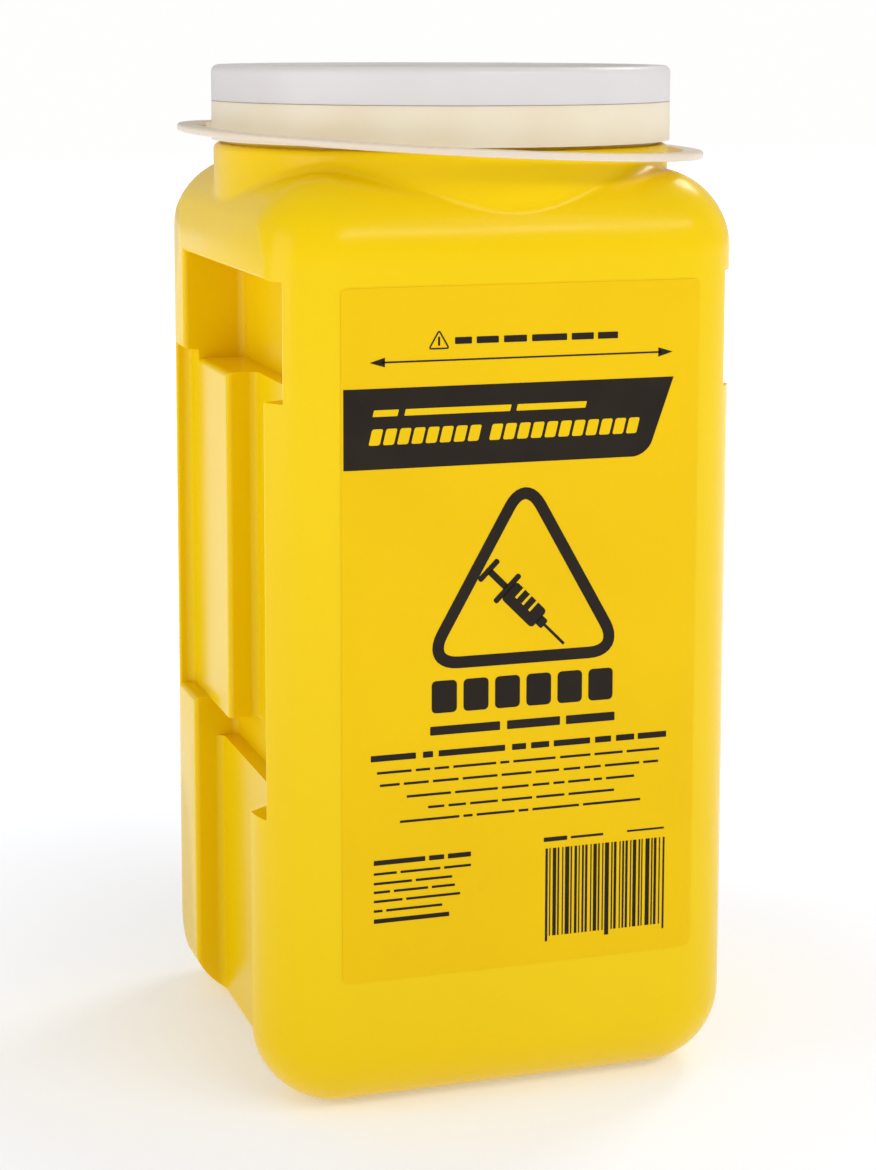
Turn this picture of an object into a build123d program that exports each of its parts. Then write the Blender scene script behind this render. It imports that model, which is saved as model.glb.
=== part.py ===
from build123d import *
import math
import os

# Sharps container: square blow-moulded bottle, round neck, two-tier snap lid and carry ring.
# Millimetres, +Z up, origin at the centre of the base, label on the -Y side.

# ---- bottle ----------------------------------------------------------------------------
body_half = 51.2            # half of the square body, over the upright corner posts
corner_radius = 17.5        # upright corners
base_radius = 16.8          # base edge
shoulder_radius = 16.6      # shoulder edge
shoulder_top = 191.7        # height of the shoulder's flat
wall = 1.5                  # blow-moulded wall
base_arch_half = 20.0       # half width of the shallow channel under the base
base_arch_rise = 1.4
neck_radius = 48.6          # yellow neck below the lid
neck_step = 196.0           # where the neck steps in to the rim
rim_radius = 46.4           # rim that the collar snaps over
rim_top = 202.8
rim_bead_height = 200.4
rim_bead = 0.5              # how far the snap bead stands out
rim_bead_half = 0.4         # half of the bead's height
neck_edge = 1.4             # rounding at the neck's step
neck_blend = 3.0            # concave blend between neck and shoulder

# ---- side recesses, given for the left side and mirrored --------------------------------
side_land = 49.7            # flat side panel, cut slightly into the corner arcs
land_foot = 62.0            # below this the front posts are left fully round
pocket_floor = 35.7         # grip pocket under the shoulder
pocket_low, pocket_high = 147.0, 171.0
pocket_front, pocket_rear = -45.6, 32.2
groove_floor = 39.6         # long groove behind the front post
groove_low = 62.0
groove_front, groove_rear = -41.4, 5.4
ledge_face = 46.3           # panel stepped back behind the groove
ledge_low, ledge_high = 71.0, 149.0
ledge_rear = 40.0
channel_floor = 43.1        # lower channel, open to the base
channel_front, channel_rear = -33.7, 24.9
wall_slope = 6.0            # how far the front walls of the recesses lean back over their depth
edge_soft = 1.2             # rounding of the recess edges
edge_fine = 0.5             # the same on the edges that meet a corner arc or the rear post
floor_soft = 2.0            # rounding where a recess wall meets its floor

# ---- lid -------------------------------------------------------------------------------
lid_radius = 49.0           # both tiers of the lid
collar_bottom = 196.7
seam_height = 204.9         # where cap and collar meet
seam_gap = 0.2
lid_top = 212.4
skirt = 1.6                 # lid wall
throat_radius = 40.0        # opening that the waste drops through
plug_radius = 39.7          # ring under the cap that seals in the throat
panel_radius = 44.6         # recessed panel of the cap
panel_drop = 1.3
panel_thick = 1.4
cap_edge = 1.5              # rounding of the cap's top edge
roof_thick = 1.6            # cap material over the hollow of its skirt
plug_wall = 1.4
plug_drop = 4.5             # how far the plug reaches below the seam
throat_gap = 0.1            # collar's flange over the rim
liner_gap = 0.15            # collar's inner ring inside the rim
liner_lift = 1.0            # the inner ring starts this far above the collar's edge
rib_lift = 0.9              # the snap rib starts this far above the collar's edge
rib_under_bead = 0.6        # and ends this far below the bead's middle

# ---- hinges and carry ring ---------------------------------------------------------------
cap_axis_y = 49.8           # living hinge at the back of the lid
hinge_radius = 0.5
hinge_half = 6.0
hinge_play = 0.12
hinge_block = 3.2           # height of the blocks that carry the cap's hinge
hinge_root = 2.0            # how far those blocks reach into the lid
lug_reach, lug_high = 2.2, 1.3      # collar's lug at the ring's hinge
tab_reach = 2.6             # ring's tab at the same hinge
fold_gap = 0.1              # half of the gap between lug and tab
ring_inner, ring_outer = 51.9, 56.35
ring_thick = 1.5
ring_edge = 0.4
ring_height = 196.4         # height of the ring's middle plane on the lid's axis
ring_tilt = 2.96            # droop of the ring away from its hinge, degrees
ring_bearing = 162.0        # direction of the ring's hinge, degrees from +X
ring_axis_reach = 50.05     # distance of the ring's hinge line from the lid's axis

# ---- label -----------------------------------------------------------------------------
label_centre_x = 1.0
label_width, label_height = 75.7, 140.1
label_bottom = 29.9
label_corner = 1.3
label_thick = 0.15


def block(x0, x1, y0, y1, z0, z1):
    """Box between two opposite corners."""
    return Pos((x0 + x1) / 2, (y0 + y1) / 2, (z0 + z1) / 2) * Box(x1 - x0, y1 - y0, z1 - z0)


def disc(radius, z0, z1):
    """Round slab on the lid's axis."""
    return Pos(0, 0, (z0 + z1) / 2) * Cylinder(radius, z1 - z0)


def recess(depth_x, front, rear, low, high, inset, lean):
    """Cutter for one left-hand recess; its front wall leans back as it goes in."""
    outer = -body_half - 5
    floor = -depth_x + inset
    slope = lean / (body_half - depth_x)
    mouth = front - inset - slope * 5
    outline = Polyline((outer, mouth), (floor, front + lean - inset), (floor, rear + inset),
                       (outer, rear + inset), close=True)
    profile = make_face(outline)
    inner = profile.vertices().filter_by(lambda v: v.X > outer + 1)
    profile = fillet(inner, floor_soft + inset)
    return Pos(0, 0, low - inset) * extrude(profile, high - low + 2 * inset)


def bottle_form(inset):
    """The bottle's shape drawn inwards by inset: 0 gives the outside, the wall the inside."""
    half = body_half - inset
    square = RectangleRounded(2 * half, 2 * half, corner_radius - inset)
    form = Pos(0, 0, inset) * extrude(square, shoulder_top - 2 * inset)
    form = fillet(form.edges().group_by(Axis.Z)[0], base_radius - inset)
    form = fillet(form.edges().group_by(Axis.Z)[-1], shoulder_radius - inset)

    land = side_land - inset
    form -= block(-80, -land, -80, 80, land_foot, 220) + block(land, 80, -80, 80, land_foot, 220)
    form -= block(-80, -land, 0, 80, -5, land_foot) + block(land, 80, 0, 80, -5, land_foot)

    cuts = [
        recess(pocket_floor, pocket_front, pocket_rear, pocket_low, pocket_high, inset, wall_slope),
        recess(groove_floor, groove_front, groove_rear, groove_low, ledge_high, inset, wall_slope),
        recess(groove_floor, groove_front, channel_rear, groove_low, ledge_low, inset, wall_slope),
        recess(ledge_face, 0, ledge_rear, ledge_low, ledge_high, inset, 0),
        recess(channel_floor, channel_front, channel_rear, -20, ledge_low, inset, wall_slope),
    ]
    for cut in cuts:
        form -= cut
        form -= mirror(cut, Plane.YZ)

    rise, reach = base_arch_rise + inset, base_arch_half + inset
    arch_radius = (rise ** 2 + reach ** 2) / (2 * rise)
    form -= Pos(0, 0, rise - arch_radius) * Rot(90, 0, 0) * Cylinder(arch_radius, 300)
    return form


def softened(form):
    """Round the long outer edges of the side recesses, left and right alike."""

    def rounded(body, marks, radius):
        edges = [body.edges().sort_by_distance((side * x, y, z))[0] for x, y, z in marks for side in (-1, 1)]
        return fillet(edges, radius)

    panel_middle = (ledge_low + ledge_high) / 2
    pocket_middle = (ledge_high + pocket_high) / 2
    form = rounded(form, [
        (side_land, 0, pocket_high),
        (side_land, pocket_rear, pocket_middle),
        (ledge_face, groove_rear, panel_middle),
        (ledge_face, ledge_rear / 2, pocket_low),
        (side_land, (pocket_rear + ledge_rear) / 2, ledge_high),
        (side_land, (channel_rear + ledge_rear) / 2, ledge_low),
        (side_land, channel_rear, 2 * groove_low / 3),
    ], edge_soft)
    form = rounded(form, [(side_land - 1.9, pocket_front + 1.4, pocket_middle)], edge_soft)
    form = rounded(form, [(side_land, groove_front + 0.6, panel_middle)], edge_fine)
    return rounded(form, [(side_land, ledge_rear, panel_middle)], edge_fine)


def on_neck(edge):
    """True for the edges where the neck grows out of the shoulder."""
    points = [edge @ at for at in (0.0, 0.5, 1.0)]
    reach = [abs(math.hypot(point.X, point.Y) - neck_radius) for point in points]
    return max(reach) < 0.02 and points[1].Z < neck_step - 2 and edge.length > 0.5


def bottle():
    outside = softened(bottle_form(0))
    neck = disc(neck_radius, shoulder_top - shoulder_radius, neck_step)
    neck = fillet(neck.edges().group_by(Axis.Z)[-1], neck_edge)
    rim = disc(rim_radius, neck_step - 1, rim_top)
    rim += disc(rim_radius + rim_bead, rim_bead_height - rim_bead_half, rim_bead_height + rim_bead_half)
    cavity = bottle_form(wall)
    cavity += disc(neck_radius - wall, shoulder_top - shoulder_radius, neck_step - wall)
    cavity += disc(rim_radius - wall, neck_step - 2 * wall, rim_top + 1)
    body = outside + neck
    foot = body.edges().filter_by(on_neck)
    return fillet(foot, neck_blend) + rim - cavity


def front_label():
    half = body_half + label_thick
    film = extrude(RectangleRounded(2 * half, 2 * half, corner_radius + label_thick), 300)
    film -= extrude(RectangleRounded(2 * body_half, 2 * body_half, corner_radius), 300)
    sheet = RectangleRounded(label_width, label_height, label_corner)
    stamp = Plane((label_centre_x, 0, label_bottom + label_height / 2), (1, 0, 0), (0, -1, 0)) * sheet
    return film & extrude(stamp, 100)


def ring_around(outer, inner, z0, z1):
    return disc(outer, z0, z1) - disc(inner, z0 - 1, z1 + 1)


def hinge_bar(radius, extra=0.0):
    """Rod on the cap's hinge axis."""
    return Pos(0, cap_axis_y, seam_height) * Rot(0, 90, 0) * Cylinder(radius, 2 * hinge_half + extra)


def ring_frame():
    """Frame of the ring's hinge: X points away from the lid, Y along the hinge line."""
    bearing = math.radians(ring_bearing)
    rise = ring_axis_reach * math.tan(math.radians(ring_tilt))
    at = Location((ring_axis_reach * math.cos(bearing), ring_axis_reach * math.sin(bearing),
                   ring_height + rise))
    return at * Location((0, 0, 0), (0, 0, ring_bearing))


def neck_collar():
    web_top = seam_height - seam_gap / 2
    liner = rim_radius - wall - liner_gap
    collar = ring_around(lid_radius, lid_radius - skirt, collar_bottom, web_top)
    collar += ring_around(lid_radius, throat_radius, rim_top + throat_gap, web_top)
    collar += ring_around(liner, liner - wall, collar_bottom + liner_lift, web_top)
    collar += ring_around(lid_radius - skirt / 2, rim_radius + throat_gap, collar_bottom + rib_lift,
                          rim_bead_height - rib_under_bead)
    ear = block(-hinge_half, hinge_half, lid_radius - hinge_root, cap_axis_y, seam_height - hinge_block, web_top)
    lug = ring_frame() * block(-lug_reach, -fold_gap, -hinge_half, hinge_half, fold_gap / 2, lug_high)
    collar += ear + lug
    collar -= hinge_bar(hinge_radius, 1)
    return collar - ring_frame() * Rot(90, 0, 0) * Cylinder(hinge_radius, 2 * hinge_half + 1)


def snap_cap():
    base = seam_height + seam_gap / 2
    cap = disc(lid_radius, base, lid_top)
    cap = fillet(cap.edges().group_by(Axis.Z)[-1], cap_edge)
    well = disc(panel_radius, lid_top - panel_drop, lid_top + 1)
    cap -= well
    underside = lid_top - panel_drop - panel_thick
    cap -= disc(panel_radius, base - 1, underside)
    cap -= ring_around(lid_radius - skirt, panel_radius - 1, base - 1, lid_top - roof_thick)
    cap += ring_around(plug_radius, plug_radius - plug_wall, seam_height - plug_drop, underside + panel_thick / 2)
    cap += block(-hinge_half, hinge_half, lid_radius - skirt, cap_axis_y, base, base + hinge_block)
    return cap - hinge_bar(hinge_radius + hinge_play, 1)


def cap_hinge():
    return hinge_bar(hinge_radius)


def ring_hinge():
    return ring_frame() * Rot(90, 0, 0) * Cylinder(hinge_radius, 2 * hinge_half)


def carry_ring():
    ring = extrude(Circle(ring_outer) - Circle(ring_inner), ring_thick / 2, both=True)
    tilted = Rot(0, 0, ring_bearing) * Rot(0, -ring_tilt, 0) * fillet(ring.edges(), ring_edge)
    ring = Pos(0, 0, ring_height) * tilted
    tab = block(fold_gap, tab_reach, -hinge_half, hinge_half, -ring_thick / 2, ring_thick / 2)
    ring += ring_frame() * Rot(0, -ring_tilt, 0) * tab
    return ring - ring_frame() * Rot(90, 0, 0) * Cylinder(hinge_radius + hinge_play, 2 * hinge_half + 1)


if __name__ == "__main__":
    os.makedirs("parts", exist_ok=True)
    pieces = {
        "bottle": bottle,
        "front_label": front_label,
        "neck_collar": neck_collar,
        "snap_cap": snap_cap,
        "cap_hinge": cap_hinge,
        "ring_hinge": ring_hinge,
        "carry_ring": carry_ring,
    }
    for name, make in pieces.items():
        export_step(make(), f"parts/{name}.step")
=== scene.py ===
import math
import bpy
from mathutils import Matrix, Vector


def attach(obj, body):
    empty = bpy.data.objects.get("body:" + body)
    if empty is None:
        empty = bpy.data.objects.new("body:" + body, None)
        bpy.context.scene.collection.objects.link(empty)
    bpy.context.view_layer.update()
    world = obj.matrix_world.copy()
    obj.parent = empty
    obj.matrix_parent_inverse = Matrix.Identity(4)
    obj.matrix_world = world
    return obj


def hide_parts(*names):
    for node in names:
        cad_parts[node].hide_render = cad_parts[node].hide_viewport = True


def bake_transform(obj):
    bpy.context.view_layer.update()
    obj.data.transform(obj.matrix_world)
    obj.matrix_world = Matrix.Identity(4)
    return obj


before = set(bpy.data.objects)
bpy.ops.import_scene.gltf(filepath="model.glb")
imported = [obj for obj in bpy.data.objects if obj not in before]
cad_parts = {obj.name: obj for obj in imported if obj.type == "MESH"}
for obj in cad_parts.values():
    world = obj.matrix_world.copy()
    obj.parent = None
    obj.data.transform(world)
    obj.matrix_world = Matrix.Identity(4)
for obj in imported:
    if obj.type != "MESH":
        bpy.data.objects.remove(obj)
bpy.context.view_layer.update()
scene = bpy.context.scene
mm = 0.001
print("frame loaded, nodes:", len(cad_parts))


# ways of working

def deselect():
    if bpy.context.object and bpy.context.object.mode != "OBJECT":
        bpy.ops.object.mode_set(mode="OBJECT")
    bpy.ops.object.select_all(action="DESELECT")


def pick(*pieces):
    deselect()
    for piece in pieces:
        piece.select_set(True)
    bpy.context.view_layer.objects.active = pieces[0]


def backToObject():
    bpy.ops.object.mode_set(mode="OBJECT")


def editSelect(piece, kind, test):  # opens the piece and selects the verts, edges or faces that pass the test
    pick(piece)
    bpy.ops.object.mode_set(mode="EDIT")
    bpy.ops.mesh.select_mode(type={"verts": "VERT", "edges": "EDGE", "faces": "FACE"}[kind])
    bpy.ops.mesh.select_all(action="DESELECT")
    backToObject()
    mesh = piece.data
    for part in {"verts": mesh.vertices, "edges": mesh.edges, "faces": mesh.polygons}[kind]:
        part.select = test(part, mesh)
    bpy.ops.object.mode_set(mode="EDIT")


def editAll(piece):
    editSelect(piece, "faces", lambda face, mesh: True)


def edgeEnds(edge, mesh):
    return [mesh.vertices[i].co for i in edge.vertices]


def recalculate(piece):
    editAll(piece)
    bpy.ops.mesh.normals_make_consistent(inside=False)
    backToObject()


def joinAll(pieces):
    pick(*pieces)
    if len(pieces) > 1:
        bpy.ops.object.join()
    return bpy.context.view_layer.objects.active


def settle(piece, name, material, body, smooth=None):  # names, paints and hangs a finished piece
    pick(piece)
    bpy.ops.object.transform_apply(location=True, rotation=True, scale=True)
    piece.name = name
    piece.data.name = name
    piece.data.materials.clear()
    piece.data.materials.append(material)
    if smooth:
        bpy.ops.object.shade_smooth_by_angle(angle=math.radians(smooth))
    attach(piece, body)
    return piece


# materials

def nodeMaker(material):
    tree = material.node_tree

    def make(kind, inputs=None, **settings):
        node = tree.nodes.new("ShaderNode" + kind)
        for key, value in settings.items():
            setattr(node, key, value)
        for key, value in (inputs or {}).items():
            if isinstance(value, bpy.types.NodeSocket):
                tree.links.new(value, node.inputs[key])
            else:
                node.inputs[key].default_value = value
        return node
    return make


def plastic(name, look):
    material = bpy.data.materials.new(name)
    material.use_nodes = True
    shader = material.node_tree.nodes["Principled BSDF"]
    make = nodeMaker(material)
    link = material.node_tree.links.new
    place = make("TexCoord").outputs["Object"]

    cloud = make("TexNoise", {"Vector": place, "Scale": look["cloudScale"], "Detail": 3.0, "Roughness": 0.55})
    ramp = make("ValToRGB", {"Fac": cloud.outputs["Fac"]})
    low, high = ramp.color_ramp.elements
    low.position, high.position = 0.3, 0.7
    low.color = (*look["deep"], 1)
    high.color = (*look["colour"], 1)
    link(ramp.outputs["Color"], shader.inputs["Base Color"])

    smear = make("TexNoise", {"Vector": place, "Scale": look["smearScale"], "Detail": 5.0, "Roughness": 0.6})
    rough = make("MapRange", {"Value": smear.outputs["Fac"], "From Min": 0.3, "From Max": 0.7,
                              "To Min": look["rough"][0], "To Max": look["rough"][1]})
    link(rough.outputs["Result"], shader.inputs["Roughness"])

    ripple = make("TexNoise", {"Vector": place, "Scale": look["rippleScale"], "Detail": 1.0})
    wavy = make("Bump", {"Height": ripple.outputs["Fac"], "Strength": look["ripple"], "Distance": 0.002})
    grain = make("TexNoise", {"Vector": place, "Scale": look["grainScale"], "Detail": 2.0})
    fine = make("Bump", {"Height": grain.outputs["Fac"], "Strength": look["grain"], "Distance": 0.0002,
                         "Normal": wavy.outputs["Normal"]})
    link(fine.outputs["Normal"], shader.inputs["Normal"])

    shader.inputs["Specular IOR Level"].default_value = look.get("specular", 0.5)
    shader.inputs["IOR"].default_value = 1.5
    if "through" in look:
        shader.inputs["Subsurface Weight"].default_value = look["through"]
        shader.inputs["Subsurface Radius"].default_value = look["throughReach"]
        shader.inputs["Subsurface Scale"].default_value = 1.0
    if "clear" in look:
        shader.inputs["Transmission Weight"].default_value = look["clear"]
    return material


yellow = plastic("yellowPolyethylene", {
    "colour": (0.90, 0.605, 0.0), "deep": (0.875, 0.580, 0.0),
    "cloudScale": 14.0, "smearScale": 30.0, "rough": (0.19, 0.27),
    "rippleScale": 38.0, "ripple": 0.06, "grainScale": 1500.0, "grain": 0.10, "specular": 0.16,
    "through": 0.10, "throughReach": (0.004, 0.002, 0.0005),
})
film = plastic("labelFilm", {
    "colour": (0.86, 0.55, 0.0), "deep": (0.82, 0.515, 0.0),
    "cloudScale": 22.0, "smearScale": 60.0, "rough": (0.44, 0.52),
    "rippleScale": 55.0, "ripple": 0.05, "grainScale": 2600.0, "grain": 0.16, "specular": 0.12,
})
ink = plastic("printInk", {
    "colour": (0.022, 0.015, 0.009), "deep": (0.014, 0.010, 0.006),
    "cloudScale": 60.0, "smearScale": 90.0, "rough": (0.42, 0.52),
    "rippleScale": 55.0, "ripple": 0.05, "grainScale": 2600.0, "grain": 0.12, "specular": 0.12,
})
paleInk = plastic("paleInk", {
    "colour": (0.86, 0.56, 0.0), "deep": (0.80, 0.51, 0.0),
    "cloudScale": 60.0, "smearScale": 90.0, "rough": (0.44, 0.52),
    "rippleScale": 55.0, "ripple": 0.05, "grainScale": 2600.0, "grain": 0.12, "specular": 0.12,
})
capMilk = plastic("capMilk", {
    "colour": (0.79, 0.755, 0.74), "deep": (0.69, 0.65, 0.625),
    "cloudScale": 18.0, "smearScale": 45.0, "rough": (0.32, 0.42),
    "rippleScale": 60.0, "ripple": 0.05, "grainScale": 1800.0, "grain": 0.10,
    "through": 0.25, "throughReach": (0.004, 0.0035, 0.003), "clear": 0.05,
})
naturalMilk = plastic("naturalMilk", {
    "colour": (0.95, 0.87, 0.69), "deep": (0.84, 0.70, 0.47),
    "cloudScale": 20.0, "smearScale": 45.0, "rough": (0.34, 0.44),
    "rippleScale": 60.0, "ripple": 0.05, "grainScale": 1800.0, "grain": 0.10,
    "through": 0.20, "throughReach": (0.004, 0.0035, 0.0025), "clear": 0.06,
})
ringMilk = plastic("ringMilk", {
    "colour": (0.84, 0.73, 0.60), "deep": (0.80, 0.68, 0.54),
    "cloudScale": 24.0, "smearScale": 45.0, "rough": (0.34, 0.44),
    "rippleScale": 60.0, "ripple": 0.05, "grainScale": 1800.0, "grain": 0.10,
    "through": 0.30, "throughReach": (0.003, 0.0025, 0.002), "clear": 0.12,
})
print("materials ready")


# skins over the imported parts, with rounded shading

skins = {
    "bottle": {"name": "bottleShell", "material": yellow, "slot": "yellow_polyethylene",
               "body": "container", "smooth": 32},
    "front_label": {"name": "labelSheet", "material": film, "slot": "label_film",
                    "body": "container", "smooth": 32},
    "neck_collar": {"name": "collarShell", "material": naturalMilk, "slot": "natural_polyethylene",
                    "body": "container", "smooth": 35},
    "snap_cap": {"name": "capShell", "material": capMilk, "slot": "cap_polyethylene",
                 "body": "cap", "smooth": 35},
    "carry_ring": {"name": "ringBand", "material": ringMilk, "slot": "natural_polyethylene",
                   "body": "ring", "smooth": 35},
}
mergeWithin = 2e-6
for node, look in skins.items():
    skin = bpy.data.objects.new(look["name"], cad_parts[node].data.copy())
    scene.collection.objects.link(skin)
    pick(skin)
    bpy.ops.object.mode_set(mode="EDIT")
    bpy.ops.mesh.select_all(action="SELECT")
    bpy.ops.mesh.remove_doubles(threshold=mergeWithin)
    backToObject()
    if skin.data.has_custom_normals:
        bpy.ops.mesh.customdata_custom_splitnormals_clear()
    settle(skin, look["name"], look["material"], look["body"], look["smooth"])
    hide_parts(node)
for node, material in (("cap_hinge", capMilk), ("ring_hinge", naturalMilk)):
    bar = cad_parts[node]
    bar.data.materials.clear()
    bar.data.materials.append(material)
print("skins done")


# print on the label: plates a few hundredths thick, laid out in millimetres, x across and z up

printing = {
    "frontFace": 51.2, "filmThick": 0.15, "stand": 0.05, "sink": 0.03,
    "flatHalf": 33.7, "cornerRadius": 17.5, "wrapSteps": 6,
    "barCorner": 0.12,  # of a bar's height
}


def runsBack(edge, mesh):
    start, end = edgeEnds(edge, mesh)
    return abs(start.y - end.y) > 1e-6


def plate(x0, x1, z0, z1, corner=0.0, lean=0.0, lift=0.0):  # one block of print, rounded, slanted or raised
    front = -(printing["frontFace"] + printing["filmThick"] + printing["stand"] + lift)
    back = -(printing["frontFace"] + printing["filmThick"] - printing["sink"])
    middle = (z0 + z1) / 2 * mm
    bpy.ops.mesh.primitive_cube_add(size=1, location=((x0 + x1) / 2 * mm, (front + back) / 2 * mm, middle),
                                    scale=((x1 - x0) * mm, (back - front) * mm, (z1 - z0) * mm))
    made = bpy.context.object
    bpy.ops.object.transform_apply(location=True, rotation=True, scale=True)
    if corner:
        editSelect(made, "edges", runsBack)
        bpy.ops.mesh.bevel(offset=corner * mm, segments=3, affect="EDGES")
        backToObject()
    if lean:
        for v in made.data.vertices:
            v.co.x += (v.co.z - middle) * lean
    return made


def outline(mark):  # closed outline with rounded corners
    front = -(printing["frontFace"] + printing["filmThick"] + printing["stand"])
    bpy.ops.mesh.primitive_circle_add(vertices=len(mark["corners"]), radius=mm, fill_type="NGON")
    made = bpy.context.object
    for v, (x, z) in zip(made.data.vertices, mark["corners"]):
        v.co = (x * mm, front * mm, z * mm)
    editSelect(made, "verts", lambda vert, mesh: True)
    bpy.ops.mesh.bevel(offset=mark["radius"] * mm, segments=mark["segments"],
                       affect="VERTICES", offset_type="OFFSET")
    backToObject()
    editAll(made)
    bpy.ops.mesh.inset(thickness=mark["line"] * mm)
    bpy.ops.mesh.delete(type="FACE")
    backToObject()
    editAll(made)
    thick = (printing["stand"] + printing["sink"]) * mm
    bpy.ops.mesh.extrude_region_move(TRANSFORM_OT_translate={"value": (0, thick, 0)})
    bpy.ops.mesh.select_all(action="SELECT")
    bpy.ops.mesh.sort_elements(type="CURSOR_DISTANCE", elements={"VERT", "EDGE", "FACE"})  # a fixed order
    backToObject()
    recalculate(made)
    return made


def wrapRound(piece):  # lets print that runs past the flat face follow the corner
    flat = printing["flatHalf"]
    for step in range(printing["wrapSteps"]):
        for side in (-1, 1):
            editAll(piece)
            bpy.ops.mesh.bisect(plane_co=(side * (flat + step) * mm, 0, 0), plane_no=(1, 0, 0))
            backToObject()
    radius = printing["cornerRadius"]
    for v in piece.data.vertices:
        past = abs(v.co.x) / mm - flat
        if past > 0:
            v.co.y += (radius - math.sqrt(radius ** 2 - past ** 2)) * mm


def bars(spans, middle, height, lean=0.0, lift=0.0):
    return [plate(x0, x1, middle - height / 2, middle + height / 2,
                  corner=height * printing["barCorner"], lean=lean, lift=lift) for x0, x1 in spans]


def letterSpans(start, end, pitch, gap):  # cuts a word into letter-wide blocks
    count = max(1, round((end - start) / pitch))
    step = (end - start) / count
    return [(start + i * step, start + i * step + step * (1 - gap)) for i in range(count)]


# bars that stand for the words of each line: the x of each bar's ends, the line's height, the bars' thickness
wordRows = [
    ([(-13.6, -10.1), (-9.1, -4.5), (-3.4, 1.4), (2.5, 9.9), (10.9, 15.6), (16.5, 20.8)], 159.2, 1.35),
    ([(-18.6, -3.8), (-2.3, 9.1), (10.4, 21.0)], 80.7, 1.8),
    ([(-31.0, -21.6), (-20.1, -18.0), (-16.8, -2.7), (-1.2, 1.8), (2.9, 6.8), (7.8, 15.7), (16.8, 20.3),
      (21.4, 25.4), (26.2, 32.5)], 76.0, 1.25),
    ([(-29.7, -22.5), (-21.6, -18.6), (-17.7, -14.6), (-13.7, -4.6), (-3.7, -1.8), (-0.9, 8.2),
      (9.2, 15.8), (16.7, 22.9), (23.8, 31.0)], 73.0, 0.5),
    ([(-29.1, -25.0), (-24.1, -18.9), (-18.0, -12.6), (-11.7, -4.3), (-3.4, 3.0), (3.9, 9.0),
      (10.0, 13.6), (14.5, 18.1), (19.0, 26.6), (27.5, 30.8)], 70.4, 0.5),
    ([(-23.5, -14.2), (-13.3, -4.2), (-3.3, 2.4), (3.3, 6.9), (7.8, 10.2), (11.0, 15.8), (16.6, 18.4),
      (19.3, 25.5)], 67.7, 0.5),
    ([(-19.0, -15.6), (-14.7, -11.0), (-10.1, -4.2), (-3.3, 3.2), (4.1, 10.2), (11.1, 21.1)], 65.1, 0.5),
    ([(-24.9, -12.4), (-11.5, -9.6), (-8.7, -0.6), (0.3, 2.4), (3.3, 13.4), (14.3, 26.9)], 62.6, 0.5),
    ([(-30.4, -19.6), (-18.8, -15.6), (-14.8, -9.9)], 54.5, 1.0),
    ([(-30.4, -25.6), (-24.8, -16.4), (-15.6, -9.9)], 52.2, 0.5),
    ([(-30.4, -22.4), (-21.6, -13.9)], 50.2, 0.5),
    ([(-30.4, -27.0), (-26.2, -19.0), (-18.2, -13.3)], 48.4, 0.5),
    ([(-30.4, -24.4), (-23.6, -12.2)], 46.5, 0.5),
    ([(-30.4, -28.6), (-27.8, -16.0)], 44.5, 0.5),
    ([(-30.4, -14.5)], 42.4, 0.9),
    ([(5.8, 10.9)], 55.9, 0.9),
    ([(11.7, 18.8)], 55.9, 0.5),
    ([(24.1, 32.3)], 56.0, 0.4),
]
blackPrint = []
for spans, middle, height in wordRows:
    blackPrint += bars(spans, middle, height)

headline = {"first": -18.3, "pitch": 6.7, "count": 6, "width": 5.3, "low": 84.3, "high": 90.9, "corner": 0.9}
for i in range(headline["count"]):
    left = headline["first"] + i * headline["pitch"]
    blackPrint.append(plate(left, left + headline["width"], headline["low"], headline["high"],
                            corner=headline["corner"]))

fillArrow = {"left": -31.0, "right": 32.6, "height": 155.4, "lineHalf": 0.17,
             "lineInset": 2.4, "headLength": 3.0, "headHalf": 0.95, "blunt": 0.04}


def arrowHead(tip, way):  # a plate drawn in almost to a point
    middle = fillArrow["height"]
    back = tip + way * fillArrow["headLength"]
    half = fillArrow["headHalf"]
    head = plate(min(tip, back), max(tip, back), middle - half, middle + half)
    for v in head.data.vertices:
        if abs(v.co.x / mm - tip) < 0.01:
            v.co.z = middle * mm + (v.co.z - middle * mm) * fillArrow["blunt"]
    return head


lineHalf = fillArrow["lineHalf"]
lineStart, lineEnd = fillArrow["left"] + fillArrow["lineInset"], fillArrow["right"] - fillArrow["lineInset"]
blackPrint.append(plate(lineStart, lineEnd, fillArrow["height"] - lineHalf, fillArrow["height"] + lineHalf))
blackPrint.append(arrowHead(fillArrow["left"], 1))
blackPrint.append(arrowHead(fillArrow["right"], -1))

frameMark = {"corners": [(1.3, 133.7), (-21.5, 93.2), (24.1, 93.2)],
             "radius": 8.8, "line": 2.4, "segments": 10}
smallMark = {"corners": [(-16.9, 161.6), (-19.2, 157.6), (-14.6, 157.6)],
             "radius": 0.7, "line": 0.3, "segments": 5,
             "bar": (-17.1, -16.7, 158.3, 160.1), "barCorner": 0.1}
blackPrint.append(outline(frameMark))
blackPrint.append(outline(smallMark))
blackPrint.append(plate(*smallMark["bar"], corner=smallMark["barCorner"]))

# plain syringe: each plate's sides, its start and end along the needle from the thumb rest, and its corner
syringeMark = {
    "centre": (1.5, 104.9), "turn": -45, "size": 0.9, "middle": 13,
    "plates": [(-3.2, 3.2, 0.0, 1.3, 0.5), (-0.75, 0.75, 1.1, 6.4, 0.0), (-4.2, 4.2, 6.2, 7.5, 0.5),
               (-2.6, 2.6, 7.3, 17.6, 0.9), (-1.2, 1.2, 17.4, 19.4, 0.4), (-0.32, 0.32, 19.2, 26.0, 0.0)],
    "marks": [(-0.2, 2.7, 9.6, 10.2, 0.0), (-0.2, 2.7, 11.8, 12.4, 0.0), (-0.2, 2.7, 14.0, 14.6, 0.0)],
}


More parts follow.
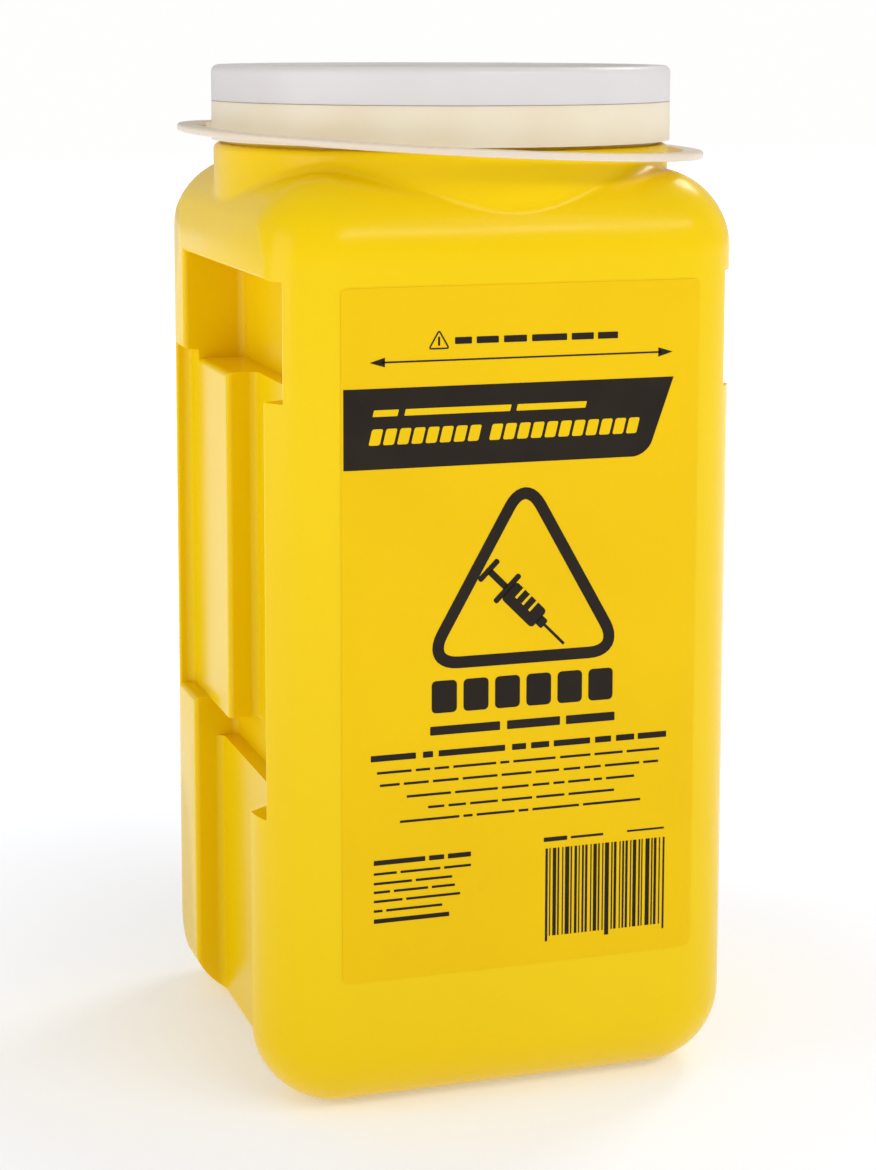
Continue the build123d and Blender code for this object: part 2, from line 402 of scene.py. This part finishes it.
def syringe(key, lift):
    middle = syringeMark["middle"]
    whole = joinAll([plate(x0, x1, middle - end, middle - start, corner=corner, lift=lift)
                     for x0, x1, start, end, corner in syringeMark[key]])
    turn = Matrix.Rotation(math.radians(syringeMark["turn"]), 4, "Y")
    shift = Matrix.Translation((syringeMark["centre"][0] * mm, 0, syringeMark["centre"][1] * mm))
    size = Matrix.Diagonal((syringeMark["size"], 1, syringeMark["size"], 1))
    whole.data.transform(shift @ turn @ size)
    return whole


blackPrint.append(syringe("plates", 0.0))

stripes = {
    "left": 6.2, "right": 32.5, "low": 35.4, "high": 54.0,
    "guardLow": 34.3, "guardEvery": 15, "guardWidth": 0.4, "endSpace": 1.0,
    "widths": (0.5, 0.25, 0.75, 0.35, 0.25, 0.9, 0.3, 0.55, 0.25, 0.4),
    "gaps": (0.35, 0.5, 0.3, 0.65, 0.4, 0.3, 0.55),
}
left, count = stripes["left"], 0
while left < stripes["right"] - stripes["endSpace"]:
    right = left + stripes["widths"][count % len(stripes["widths"])]
    low = stripes["low"] if count % stripes["guardEvery"] else stripes["guardLow"]
    blackPrint.append(plate(left, right, low, stripes["high"]))
    left = right + stripes["gaps"][count % len(stripes["gaps"])]
    count += 1
blackPrint.append(plate(stripes["right"] - stripes["guardWidth"], stripes["right"],
                        stripes["guardLow"], stripes["high"]))

band = {
    "left": -36.4, "right": 33.0, "rightLow": 27.4, "low": 134.3, "high": 150.3, "round": 3.2,
    "smallWords": [(-30.4, -25.3), (-23.9, -1.9), (-0.6, 14.1)], "smallAt": 145.4, "smallHeight": 1.3,
    "largeWords": [(-31.0, -7.7), (-6.1, 26.0)], "largeAt": 140.7, "largeHeight": 3.2,
    "pitch": 2.9, "gap": 0.22, "lean": 0.24, "lift": 0.03,
}


def lowRight(point):
    return point.x > 0 and point.z < (band["low"] + band["high"]) / 2 * mm


bandPlate = plate(band["left"], band["right"], band["low"], band["high"])
for v in bandPlate.data.vertices:
    if lowRight(v.co):
        v.co.x = band["rightLow"] * mm
editSelect(bandPlate, "edges", lambda edge, mesh: all(lowRight(point) for point in edgeEnds(edge, mesh)))
bpy.ops.mesh.bevel(offset=band["round"] * mm, segments=8, affect="EDGES")
backToObject()
blackPrint.append(bandPlate)

labelPrint = joinAll(blackPrint)
wrapRound(labelPrint)
settle(labelPrint, "labelPrint", ink, "container")

blocks = []
for start, end in band["largeWords"]:
    blocks += letterSpans(start, end, band["pitch"], band["gap"])
palePrint = bars(band["smallWords"], band["smallAt"], band["smallHeight"], band["lean"], band["lift"])
palePrint += bars(blocks, band["largeAt"], band["largeHeight"], band["lean"], band["lift"])
palePrint.append(syringe("marks", band["lift"]))
bandPrint = joinAll(palePrint)
wrapRound(bandPrint)
settle(bandPrint, "bandPrint", paleInk, "container")
print("label print done, faces:", len(labelPrint.data.polygons) + len(bandPrint.data.polygons))


# cap panel: two low rings and the gate mark of the moulding

ringShape = {"sides": 160, "ease": 0.3}  # ease is the rounding of the rim, as a part of the width


def raisedRing(radius, width, high, base, sink):  # a flat ring drawn up from a disc, its rim eased
    bpy.ops.mesh.primitive_circle_add(vertices=ringShape["sides"], radius=radius * mm, fill_type="NGON",
                                      location=(0, 0, (base - sink) * mm))
    made = bpy.context.object
    editAll(made)
    bpy.ops.mesh.inset(thickness=width * mm)
    bpy.ops.mesh.delete(type="FACE")
    bpy.ops.mesh.select_all(action="SELECT")
    top = (high + sink) * mm
    bpy.ops.mesh.extrude_region_move(TRANSFORM_OT_translate={"value": (0, 0, top)})
    backToObject()
    recalculate(made)

    def onRim(edge, mesh):
        start, end = edgeEnds(edge, mesh)
        along = abs(start.xy.length - end.xy.length) < width * mm * 0.2
        return along and min(start.z, end.z) > top * 0.9
    editSelect(made, "edges", onRim)
    bpy.ops.mesh.bevel(offset=width * mm * ringShape["ease"], segments=3, affect="EDGES")
    backToObject()
    return made


capTop = {
    "panelHeight": 211.1, "sink": 0.2,
    "rings": [(34.0, 1.1, 0.5), (12.0, 0.9, 0.4)],  # radius, width, height
    "gateRadius": 2.2, "gateHigh": 0.7, "gateRim": 0.9, "gateDip": 0.35,
}
capRings = [raisedRing(radius, width, high, capTop["panelHeight"], capTop["sink"])
            for radius, width, high in capTop["rings"]]
gateMiddle = capTop["panelHeight"] + (capTop["gateHigh"] - capTop["sink"]) / 2
bpy.ops.mesh.primitive_cylinder_add(vertices=48, radius=capTop["gateRadius"] * mm,
                                    depth=(capTop["gateHigh"] + capTop["sink"]) * mm,
                                    location=(0, 0, gateMiddle * mm))
gate = bpy.context.object
editSelect(gate, "faces", lambda face, mesh: face.normal.z > 0.9)
bpy.ops.mesh.inset(thickness=capTop["gateRim"] * mm)
bpy.ops.transform.translate(value=(0, 0, -capTop["gateDip"] * mm))
backToObject()
capRelief = joinAll([*capRings, gate])
settle(capRelief, "capRelief", capMilk, "cap", 35)


# thin upright web at the cap's hinge line, drawn flat

web = {"half": 5.4, "reach": 2.4, "thick": 0.35, "at": (0, 50.05, 204.9), "cuts": 9}
bpy.ops.mesh.primitive_plane_add(size=1)
capWeb = bpy.context.object
capWeb.scale = (2 * web["half"] * mm, 2 * web["reach"] * mm, 1)
bpy.ops.object.transform_apply(location=False, rotation=False, scale=True)
editAll(capWeb)
bpy.ops.mesh.subdivide(number_cuts=web["cuts"])
backToObject()
wall = capWeb.modifiers.new("wall", "SOLIDIFY")
wall.thickness = web["thick"] * mm
wall.offset = 0
bpy.ops.object.modifier_apply(modifier=wall.name)
hingeLine = Vector(web["at"]) * mm
capWeb.data.transform(Matrix.Translation(hingeLine) @ Matrix.Rotation(math.radians(90), 4, "X"))
capWeb.name = capWeb.data.name = "capWeb"
capWeb.data.materials.append(capMilk)
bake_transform(capWeb)


# lip in the seam of the lid

lip = {"radius": 48.93, "width": 1.2, "high": 0.19, "base": 204.8, "sink": 0.1}
settle(raisedRing(**lip), "collarLip", naturalMilk, "container", 35)
print("lid details done")


# floor, light and camera

studio = {
    "floorSize": 8.0, "paperDeep": (0.76, 0.79, 0.87), "paperLight": (0.78, 0.81, 0.89),
    "glow": (0.29, 0.66), "glowReach": (0.10, 0.38),  # the floor's own light, weaker round the object
    "backdrop": (1.0, 0.995, 0.99), "backdropLevel": 0.56,
}
bpy.ops.mesh.primitive_plane_add(size=studio["floorSize"], location=(0, 0, 0))
floor = bpy.context.object
floor.name = "floor"
paper = bpy.data.materials.new("paleFloor")
paper.use_nodes = True
paperShader = paper.node_tree.nodes["Principled BSDF"]
make = nodeMaker(paper)
mottle = make("TexNoise", {"Vector": make("TexCoord").outputs["Object"], "Scale": 3.0, "Detail": 2.0})
tint = make("ValToRGB", {"Fac": mottle.outputs["Fac"]})
tint.color_ramp.elements[0].color = (*studio["paperDeep"], 1)
tint.color_ramp.elements[1].color = (*studio["paperLight"], 1)
paper.node_tree.links.new(tint.outputs["Color"], paperShader.inputs["Base Color"])
paperShader.inputs["Roughness"].default_value = 0.9
paperShader.inputs["Specular IOR Level"].default_value = 0.2
paperShader.inputs["Emission Color"].default_value = (1.0, 1.0, 1.0, 1)
reach = make("VectorMath", {0: make("TexCoord").outputs["Object"]}, operation="LENGTH")
glow = make("MapRange", {"Value": reach.outputs["Value"],
                         "From Min": studio["glowReach"][0], "From Max": studio["glowReach"][1],
                         "To Min": studio["glow"][0], "To Max": studio["glow"][1]})
paper.node_tree.links.new(glow.outputs["Result"], paperShader.inputs["Emission Strength"])
floor.data.materials.append(paper)

world = bpy.data.worlds.new("studio")
world.use_nodes = True
make = nodeMaker(world)
seen = make("LightPath").outputs["Is Camera Ray"]
level = make("MapRange", {"Value": seen, "To Min": studio["backdropLevel"], "To Max": 1.0})  # white when seen
background = world.node_tree.nodes["Background"]
background.inputs["Color"].default_value = (*studio["backdrop"], 1)
world.node_tree.links.new(level.outputs["Result"], background.inputs["Strength"])
scene.world = world

lamps = [  # places and sizes in metres
    {"name": "frontHigh", "at": (0.56, -1.22, 1.05), "aim": (0.0, 0.0, 0.19),
     "size": (1.5, 0.20), "power": 7.8},
    {"name": "backRight", "at": (1.1, 0.75, 1.3), "aim": (0.0, 0.0, 0.1),
     "size": (0.5, 0.5), "power": 5.8},
    {"name": "leftSide", "at": (-1.3, -0.12, 0.35), "aim": (0.0, 0.0, 0.1),
     "size": (0.7, 0.8), "power": 3.6},
]
for lamp in lamps:
    light = bpy.data.lights.new(lamp["name"], "AREA")
    light.shape = "RECTANGLE"
    light.size, light.size_y = lamp["size"]
    light.energy = lamp["power"]
    holder = bpy.data.objects.new(lamp["name"], light)
    scene.collection.objects.link(holder)
    holder.location = lamp["at"]
    holder.rotation_euler = (Vector(lamp["aim"]) - Vector(lamp["at"])).to_track_quat("-Z", "Y").to_euler()

lens = {"at": (-171.743, -528.358, 218.65), "turn": 17.962, "down": 7.846, "roll": 0.116,
        "focal": 79.2615, "shiftUp": -1 / 6}  # place and focal length in millimetres, angles in degrees
cameraData = bpy.data.cameras.new("camera")
cameraData.sensor_width = 36
cameraData.lens = lens["focal"]
cameraData.shift_y = lens["shiftUp"]
cameraData.clip_start = 0.01
camera = bpy.data.objects.new("camera", cameraData)
scene.collection.objects.link(camera)
camera.matrix_world = (Matrix.Translation(Vector(lens["at"]) * mm)
                       @ Matrix.Rotation(math.radians(-lens["turn"]), 4, "Z")
                       @ Matrix.Rotation(math.radians(90 - lens["down"]), 4, "X")
                       @ Matrix.Rotation(math.radians(lens["roll"]), 4, "Z"))
scene.camera = camera
scene.view_settings.view_transform = "Standard"
print("studio ready")
